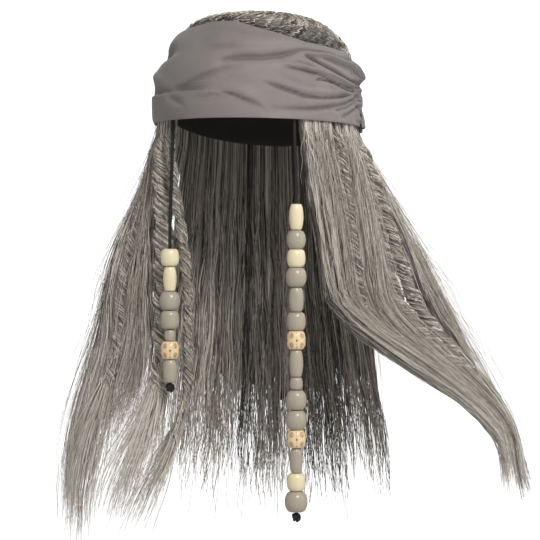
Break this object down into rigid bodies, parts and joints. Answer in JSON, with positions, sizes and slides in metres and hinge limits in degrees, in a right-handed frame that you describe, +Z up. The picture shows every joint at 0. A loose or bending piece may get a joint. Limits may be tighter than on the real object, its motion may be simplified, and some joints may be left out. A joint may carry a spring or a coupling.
{
  "type": "pirate wig",
  "caption": "Long grey streaked wig with twisted locks among loose hair, a folded head scarf gathered at the sides over its roots, and strings of wooden beads that hang beside the face.",
  "frame": {"origin": "where the inside of the cap rests on the top of the wearer's head", "axes": "+Z up out of the wearer's head, +X towards the wearer's left, -Y towards the wearer's front"},
  "size_m": [0.4022, 0.2337, 0.4635],
  "materials": {
    "cap": "fine matt net",
    "hair": "streaked synthetic fibre with a soft sheen",
    "scarf": "matt woven cloth",
    "cord": "matt waxed cord",
    "grey_bead": "painted and varnished",
    "cream_bead": "varnished",
    "ringed_bead": "varnished, with painted rings and dots"
  },
  "bodies": {
    "root": {"cap_net": "cap", "cap_band": "cap", "crown_hair": "hair", "scarf_front": "scarf", "scarf_band": "scarf", "hair_left_front": "hair", "hair_left_middle": "hair", "hair_left_side": "hair", "hair_back_left": "hair", "hair_back_middle_left": "hair", "hair_back_middle_right": "hair", "hair_back_right": "hair", "hair_right_side": "hair", "hair_right_middle": "hair", "hair_right_inner": "hair", "twist_left_front": "hair", "twist_left_middle": "hair", "twist_left_side": "hair", "twist_right_side": "hair", "twist_right_front": "hair", "twist_right_inner": "hair", "cord_left": "cord", "cord_right": "cord", "bead_left_1": "cream_bead", "bead_left_2": "grey_bead", "bead_left_3": "cream_bead", "bead_left_4": "grey_bead", "bead_left_5": "grey_bead", "bead_left_6": "grey_bead", "bead_left_7": "ringed_bead", "bead_left_8": "grey_bead", "bead_left_9": "grey_bead", "bead_left_10": "grey_bead", "bead_left_11": "grey_bead", "bead_left_12": "ringed_bead", "bead_left_13": "grey_bead", "bead_left_14": "cream_bead", "bead_left_15": "grey_bead", "bead_right_1": "cream_bead", "bead_right_2": "cream_bead", "bead_right_3": "grey_bead", "bead_right_4": "grey_bead", "bead_right_5": "grey_bead", "bead_right_6": "ringed_bead", "bead_right_7": "grey_bead"}
  },
  "joints": []
}
